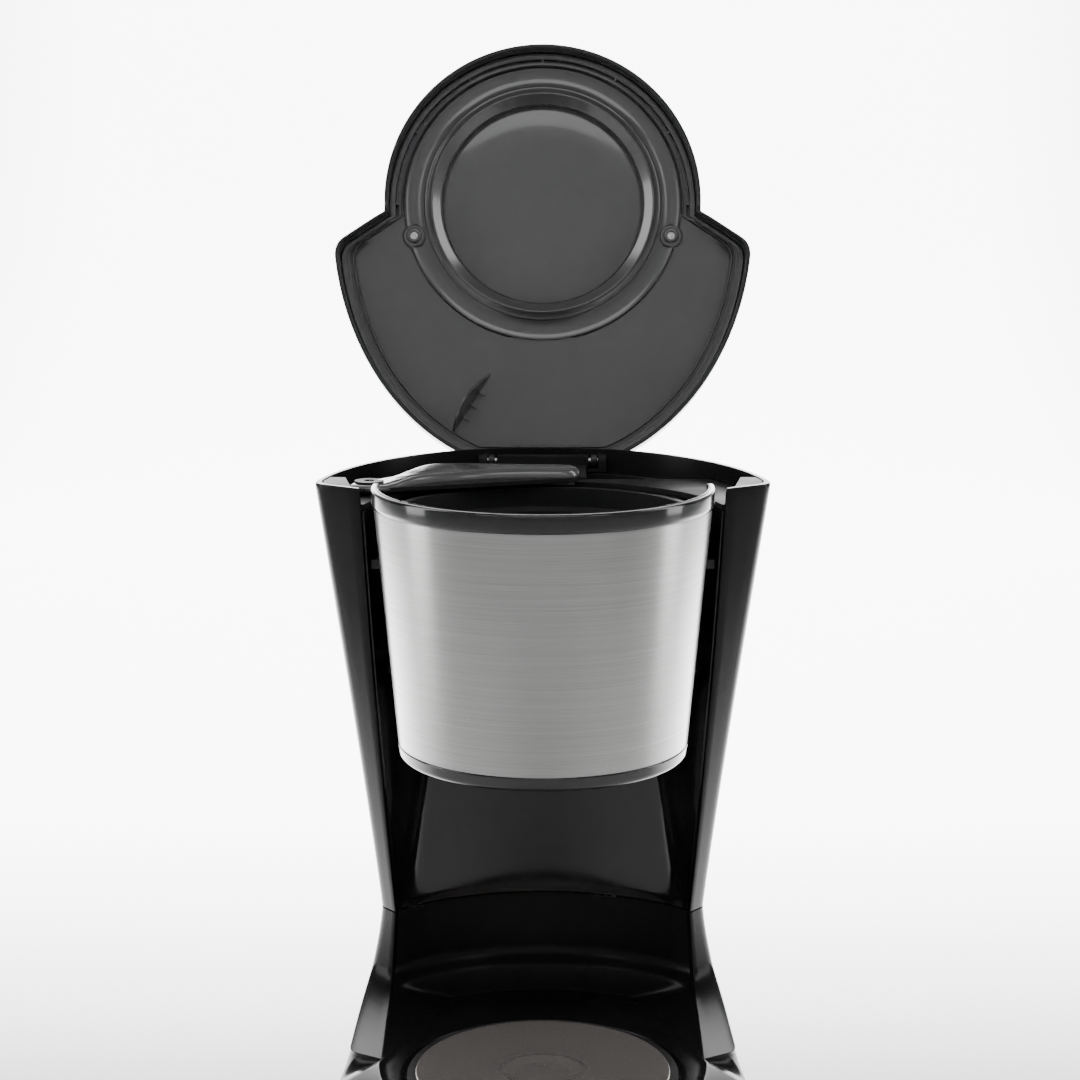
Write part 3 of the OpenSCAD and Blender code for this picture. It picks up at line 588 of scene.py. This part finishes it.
# ---------------------------------------------------------------- lid
def lid_outline(e, n=44):
    """Plan of the lid drawn in by e: a round front between two wings that run to the hinge."""
    r, a, yc = 76 - e, 100.3 - e, 11
    b = 133.5 - yc - 1 - e
    a1, t0, t1 = math.asin(min(1, 6 / r)), math.asin((22 - yc) / b), math.acos(min(1, 30 / a))
    front = [Vector((r * math.cos(t), r * math.sin(t))) for t in span(-math.pi / 2, a1, n)]
    wing = [Vector((a * math.cos(t), yc + b * math.sin(t))) for t in span(t0, t1, n)]
    # the wing's front edge meets the round front and the side in soft corners
    c0, c1 = front[-1], wing[0]
    d = c1 - c0
    p0 = c1 - d.normalized() * min(6.0, d.length * 0.3)
    right = front + span_v(c0, p0, 4)[1:-1] + bend_through(p0, c1, wing[2], 7) + wing[3:]
    return right + mirrored(right)[:-1]


def lid_low(p):
    """Lower edge of the lid's skin: over the holder's band in front, on the rim along the wings."""
    return lerp(302.6, 299.3, smooth((p.y - 3) / 5))


def lid_ring(e, z=None, lift=0.0):
    return [(p.x, p.y, z if z is not None else lid_low(p) + lift) for p in lid_outline(e)]


shell_rings = [lid_ring(2.0, 315.8), lid_ring(2.0, 308), lid_ring(2.0, None, 0.4), lid_ring(1.6),
               lid_ring(0.4), lid_ring(0, None, 0.4)]
shell_rings += [lid_ring(e, z) for e, z in ((0, 306), (0, 312), (0.1, 317), (0.6, 320), (1.6, 322.2),
                                            (3.2, 323.6), (6, 324.4), (10, 324.7), (16, 324.85),
                                            (26, 324.93), (40, 324.97), (56, 325))]
lv, lf = grid(shell_rings, around=True)
lf.append([len(lv) - len(shell_rings[0]) + k for k in range(len(shell_rings[0]))])
fork = rounded([(130.4, 317), (130.4, 294.5), (129.6, 290.6), (127, 289.4), (124.4, 290.6),
                (123.8, 294.5), (123.8, 317)], [0.3, 1, 1.8, 2, 1.8, 1, 0.3], 5)
forks = [prism(fork, x0, x1, "x") for x0, x1 in ((-25.6, -22.6), (22.6, 25.6))]
piece("lid_body", *merged((lv, lf), *forks), "lid", "lid_black", ("lid_shell",),
      edge=0.35, limit=40, place=opened)

# the lining's rim, as (how far in from the lid's outline, height); the groove, which ends at
# the wings, lies between the two steps that rise to 315.8
LINER_Z = 313.0
rim_steps = [(2.05, 315.0, 0), (2.2, 311.9, 0), (2.45, 311.5, 0), (2.85, 311.5, 0), (3.1, 312.5, 0),
             (4.8, 312.7, 0), (4.95, LINER_Z, 1), (5.0, 315.8, 1), (6.3, 315.8, 1), (6.35, LINER_Z, 1),
             (6.5, 312.7, 0), (7.5, 312.6, 0), (7.7, 311.6, 0), (7.9, 311.3, 0), (8.2, 311.3, 0),
             (8.35, 312.0, 0), (8.5, 313.4, 0)]
liner_rings = []
for e, z, groove in rim_steps:
    liner_rings.append([(p.x, p.y, lerp(z, LINER_Z, smooth((p.y - 2) / 6)) if groove else z)
                        for p in lid_outline(e)])
inner_edge = lid_outline(8.5)
for f in (0.05, 0.3, 0.6, 0.85, 1.0):
    liner_rings.append([(*(p.lerp(p.normalized() * 67.35, f)), LINER_Z) for p in inner_edge])
liner_rings.append([(*(p.normalized() * 67.25), 315.2) for p in inner_edge])

# the round cup in the lining, from its floor over the sloped bevel and out to the ring's edge
cup = [(0, 315.5), (30, 315.5), (48.0, 315.5), (48.25, 315.6), (48.35, 316.4), (48.85, 316.4),
       (48.95, 313.6), (49.0, 312.4), (49.1, 312.1), (49.3, 312.0), (49.5, 311.85), (52.9, 308.85),
       (53.2, 308.62), (53.5, 308.55), (53.8, 308.65), (54.1, 309.0), (54.6, 309.8), (56.3, 310.5),
       (56.8, 310.6), (57.0, 310.9), (57.3, 311.6), (59, 312.4), (62, 313.0), (65, 312.6),
       (66.3, 312.0), (66.55, 312.1), (66.65, 316.0), (67.3, 316.0)]
cup_net = grid([[ring_point(r, z, a) for r, z in cup] for a in span(0, 2 * math.pi, 200)[:-1]],
               along=True)
ribs = []
for deg in (-180, -150, -120, -90, -60, -30, 0):
    a = math.radians(deg)
    u, w = Vector((math.cos(a), math.sin(a))), Vector((-math.sin(a), math.cos(a)))
    box2 = [u * r + w * t for r, t in ((69.5, -0.45), (71.1, -0.45), (71.1, 0.45), (69.5, 0.45))]
    ribs.append(prism([tuple(q) for q in box2], 312.75, 315.9))
boss = [(1.7, 313), (1.75, 310.2), (2.0, 309.8), (2.6, 309.7), (3.1, 309.9), (3.35, 310.5),
        (3.45, 311.5), (3.9, 311.7), (4.5, 311.5), (5.0, 311.6), (5.4, 312.0), (5.6, 312.8), (6.4, 313.1)]
bosses = [grid([[(x + r * math.cos(a), 16 + r * math.sin(a), z) for r, z in boss]
                for a in span(0, 2 * math.pi, 40)[:-1]], along=True) for x in (-62, 62)]
piece("lid_inner", *merged(grid(liner_rings, around=True), cup_net, *ribs, *bosses), "lid",
      "lid_grey", ("lid_liner",), edge=0.12, seg=2, limit=40, place=opened)

# the fin that swings the water arm: a leaning leaf with three short ribs
FIN_LONG, FIN_FOOT = 34, 313.2
fin_u, fin_n = Vector((-0.53, 0.848)), Vector((-0.848, -0.53))


def fin_at(u, h, t):
    """A point of the fin: u along its foot, h of its height, t across its thickness."""
    tall = 17.2 * math.sin(math.pi * clamp01(u / FIN_LONG) ** 1.5) ** 0.8
    lean = 2.6 * h * math.sin(math.pi * u / FIN_LONG)
    q = Vector((-34, 97)) + fin_u * (u - FIN_LONG / 2) + fin_n * (lean + t)
    return q.x, q.y, FIN_FOOT - h * tall


fin_steps = (0, 0.25, 0.5, 0.75, 0.94, 1)
fin_rings = [[fin_at(u, h, 0.5) for h in fin_steps] + [fin_at(u, h, -0.5) for h in reversed(fin_steps)]
             for u in span(0.3, FIN_LONG - 0.3, 40)]
fv, ff = grid(fin_rings, around=True)
n_fin = len(fin_rings[0])
ff += [list(range(n_fin)), [len(fv) - n_fin + k for k in reversed(range(n_fin))]]
fin_ribs = []
for u in (11, 18.5, 25.5):
    root = Vector(fin_at(u, 0, -0.4)[:2])
    a, b = root - fin_u * 0.4, root + fin_u * 0.4
    fin_ribs.append(prism([tuple(q) for q in (a, b, b - fin_n * 3.2, a - fin_n * 3.2)],
                          fin_at(u, 0.45, 0)[2], FIN_FOOT))
piece("lid_leaf", *merged((fv, ff), *fin_ribs), "lid", "lid_grey", ("lid_fin",),
      edge=0.18, limit=45, place=opened)


# ---------------------------------------------------------------- water arm
def curve_through(points, n=10):
    """A closed smooth curve through plan points."""
    out, m = [], len(points)
    for i in range(m):
        p0, p1, p2, p3 = (Vector(points[(i + k - 1) % m]) for k in range(4))
        for t in span(0, 1, n)[:-1]:
            out.append(0.5 * ((2 * p1) + (p2 - p0) * t + (2 * p0 - 5 * p1 + 4 * p2 - p3) * t * t
                              + (3 * p1 - p0 - 3 * p2 + p3) * t ** 3))
    return out


ARM = [(-84.6, 43), (-81, 37.5), (-74.5, 36), (-67, 38.5), (-58, 45.5), (-46, 54), (-32, 60.5),
       (-16, 64.5), (-2, 65.4), (8, 65.3), (14.5, 68.5), (16.8, 74.5), (14.2, 80.6), (7.5, 83),
       (-8, 84), (-26, 86), (-42, 87.2), (-50, 86.6), (-55.2, 83), (-60.5, 75), (-68, 64),
       (-77, 54.2), (-83, 49)]
arm_line = curve_through(ARM, 8)


def inset(curve, e):
    """The curve drawn in by e along its normals; its rear-left side slopes wider."""
    out, n = [], len(curve)
    for i, p in enumerate(curve):
        t = (curve[(i + 1) % n] - curve[i - 1]).normalized()
        wide = 1 + 0.8 * smooth((p.y - 50) / 24) * smooth((-36 - p.x) / 24)
        out.append(p + Vector((-t.y, t.x)) * e * wide)
    return out


def arm_ring(e, z):
    """The arm's outline drawn in by e; its upper face drops by 2.6 over the pivot."""
    return [(p.x, p.y, z - 2.6 * smooth((-54 - p.x) / 16) * clamp01((z - 293) / 5.5))
            for p in inset(arm_line, e)]


arm_rings = [arm_ring(e, z) for e, z in ((3.0, 292.6), (1.0, 292.7), (0.3, 293.1), (0, 293.8),
                                         (0, 294.9), (0.25, 296.0), (0.8, 297.0), (1.6, 297.8),
                                         (2.4, 298.2), (3.2, 298.42), (3.9, 298.5))]
av, af = grid(arm_rings, around=True)
n_arm = len(arm_rings[0])
af += [list(reversed(range(n_arm))), [len(av) - n_arm + k for k in range(n_arm)]]
spout = prism(rounded([(1.0, 67.5), (14.5, 67.5), (14.5, 80.5), (1.0, 80.5)], 3.5), 290.9, 293.2)
piece("arm_cover", *merged((av, af), spout), "arm", "arm_grey", ("water_arm",), edge=0.15, limit=50)


# ---------------------------------------------------------------- studio
floor_m, ft, fb = graph("studio_floor")
fb.inputs["Roughness"].default_value = 0.6
where = ft.nodes.new("ShaderNodeSeparateXYZ")
ft.links.new(ft.nodes.new("ShaderNodeTexCoord").outputs["Object"], where.inputs[0])


def calc(op, a, b):
    """A sum on two values or sockets of the floor's material."""
    n = ft.nodes.new("ShaderNodeMath")
    n.operation = op
    for i, v in enumerate((a, b)):
        if isinstance(v, (int, float)):
            n.inputs[i].default_value = v
        else:
            ft.links.new(v, n.inputs[i])
    return n.outputs[0]


# the sweep is one plain pale colour; its material paints a glow on it: the floor itself emits light over
# a broad strip behind the machine with soft edges, none in front, fading out to the sides
side, depth = calc("ABSOLUTE", where.outputs["X"], 0.0), where.outputs["Y"]
# painted glow: the emission strength of the floor's glowing strip, which is not a lamp
PAINTED_BACK_GLOW = 8.0
glow = calc("MULTIPLY", ranged(ft, depth, 0.0, PAINTED_BACK_GLOW, 0.0, 0.50),
            ranged(ft, side, 1.0, 0.0, 0.6, 1.4))
ft.links.new(glow, fb.inputs["Emission Strength"])
ft.links.new(toned(ft, noise(ft, 3), (0.66, 0.66, 0.66), (0.70, 0.70, 0.70)), fb.inputs["Base Color"])
fb.inputs["Emission Color"].default_value = (1, 1, 1, 1)
# the sweep in profile, in metres: it curves up in front of the machine and behind it
FRONT_Y, REAR_Y, SWEEP_R, SWEEP_H, SWEEP_X = -3.0, 1.6, 0.9, 4.0, 4
sweep = [(FRONT_Y - SWEEP_R, SWEEP_H)]
sweep += [(FRONT_Y - SWEEP_R * math.sin(t), SWEEP_R - SWEEP_R * math.cos(t))
          for t in span(math.pi / 2, 0, 14)[:-1]]
sweep += [(y, 0.0) for y in span(FRONT_Y, REAR_Y, 6)]
sweep += [(REAR_Y + SWEEP_R * math.sin(t), SWEEP_R - SWEEP_R * math.cos(t))
          for t in span(0, math.pi / 2, 14)[1:]]
sweep += [(REAR_Y + SWEEP_R, SWEEP_H)]
fm = bpy.data.meshes.new("studio_sweep")
fm.from_pydata([(x, y, z) for x in (-SWEEP_X, SWEEP_X) for y, z in sweep], [],
               [[i, i + 1, len(sweep) + i + 1, len(sweep) + i] for i in range(len(sweep) - 1)])
fm.materials.append(floor_m)
for poly in fm.polygons:
    poly.use_smooth = True
floor = bpy.data.objects.new("studio_sweep", fm)
bpy.context.scene.collection.objects.link(floor)

world = bpy.data.worlds.new("studio")
world.use_nodes = True
world.node_tree.nodes["Background"].inputs["Color"].default_value = (0.95, 0.97, 1.0, 1)
world.node_tree.nodes["Background"].inputs["Strength"].default_value = 0.12
bpy.context.scene.world = world


def softbox(name, place, target, size, power, tall):
    """A rectangular lamp, size wide and tall high, turned towards a target."""
    light = bpy.data.lights.new(name, "AREA")
    light.energy, light.shape = power, "RECTANGLE"
    light.size, light.size_y = size, tall
    o = bpy.data.objects.new(name, light)
    bpy.context.scene.collection.objects.link(o)
    o.location = place
    o.rotation_euler = (Vector(target) - Vector(place)).to_track_quat("-Z", "Y").to_euler()
    return o


softbox("left_box", (-1.25, -0.75, 0.95), (0, -0.6, 0.42), 1.2, 1.6, 1.7)
softbox("right_box", (1.25, -0.75, 0.95), (0, -0.6, 0.42), 1.2, 1.4, 1.7)
softbox("left_rim", (-1.2, 0.02, 0.75), (0, 0, 0.35), 0.42, 9.5, 1.5)
softbox("right_rim", (1.2, 0.10, 0.75), (0, 0, 0.35), 0.36, 8.0, 1.5)
softbox("left_key", (-0.95, -1.1, 1.35), (0, 0.16, 0.42), 0.35, 1.2, 0.7)
softbox("right_key", (0.95, -1.1, 1.35), (0, 0.16, 0.42), 0.35, 1.4, 0.7)
softbox("front_top", (0, -1.0, 1.9), (0, 0, 0.25), 1.4, 7.5, 0.7)
